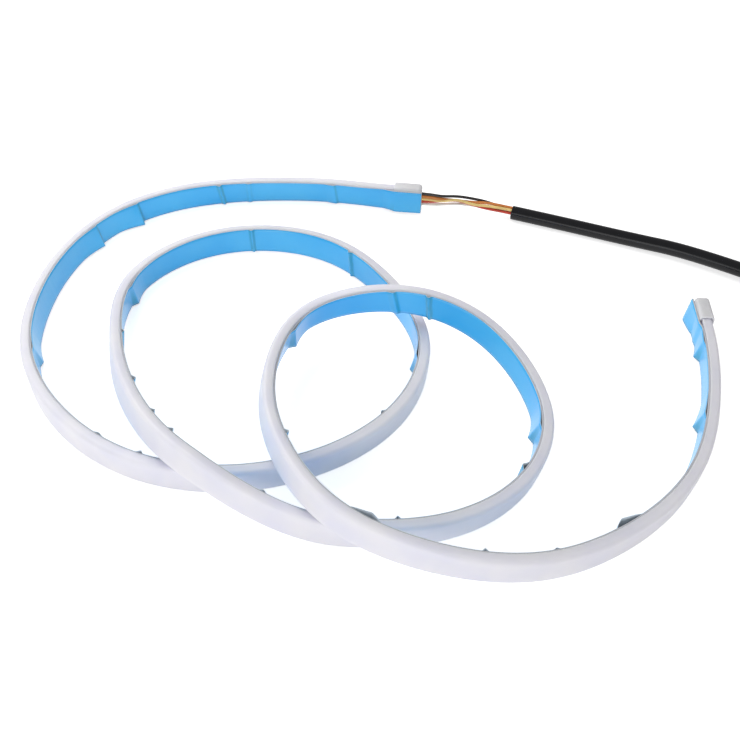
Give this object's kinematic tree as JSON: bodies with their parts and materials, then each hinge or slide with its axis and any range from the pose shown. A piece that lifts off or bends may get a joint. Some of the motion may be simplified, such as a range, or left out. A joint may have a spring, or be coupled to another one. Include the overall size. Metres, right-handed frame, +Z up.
{
  "type": "led tail light strip",
  "caption": "Flexible vehicle tail light strip in a milky silicone sleeve with a blue adhesive backing, lying in loose loops on its edge, with end caps and a sheathed multi-core lead.",
  "frame": {"origin": "on the floor under the middle of the box round the strip's loops, without its lead", "axes": "+X to the right, along the loops' longest extent; +Y away; +Z up, across the strip's width as it lies on its edge"},
  "size_m": [0.4253, 0.244, 0.0295],
  "materials": {
    "milky_silicone": "milky translucent silicone, satin",
    "cap_silicone": "clear silicone, satin",
    "sealant": "cured clear sealant",
    "foam_tape": "pale grey acrylic foam tape, matt",
    "blue_liner": "sky-blue film, satin with creases",
    "white_flex": "white solder mask",
    "red_chip": "clear encapsulant over red dice",
    "amber_chip": "phosphor yellow encapsulant",
    "chip_black": "moulded epoxy",
    "solder_metal": "bright solder",
    "wire_black": "glossy insulation",
    "wire_orange": "glossy insulation",
    "wire_yellow": "cream-yellow glossy insulation",
    "wire_red": "glossy insulation",
    "wire_white": "glossy insulation",
    "black_sheath": "black sheath, satin gloss",
    "black_nylon": "black nylon, satin"
  },
  "bodies": {
    "root": {"diffuser_sleeve": "milky_silicone", "flex_circuit": "white_flex", "adhesive_tape": "foam_tape", "release_liner": "blue_liner", "red_leds": "red_chip", "amber_leds": "amber_chip", "resistors": "chip_black", "driver_chips": "chip_black", "solder_pads": "solder_metal", "solder_joints": "solder_metal", "cable_end_cap": "cap_silicone", "tail_end_cap": "cap_silicone", "cable_end_seal": "sealant", "tail_end_seal": "sealant", "wire_black": "wire_black", "wire_orange": "wire_orange", "wire_yellow": "wire_yellow", "wire_red": "wire_red", "wire_white": "wire_white", "tinned_tips": "solder_metal", "cable_sheath": "black_sheath", "cable_coil": "black_sheath", "coil_tie": "black_nylon"}
  },
  "joints": []
}
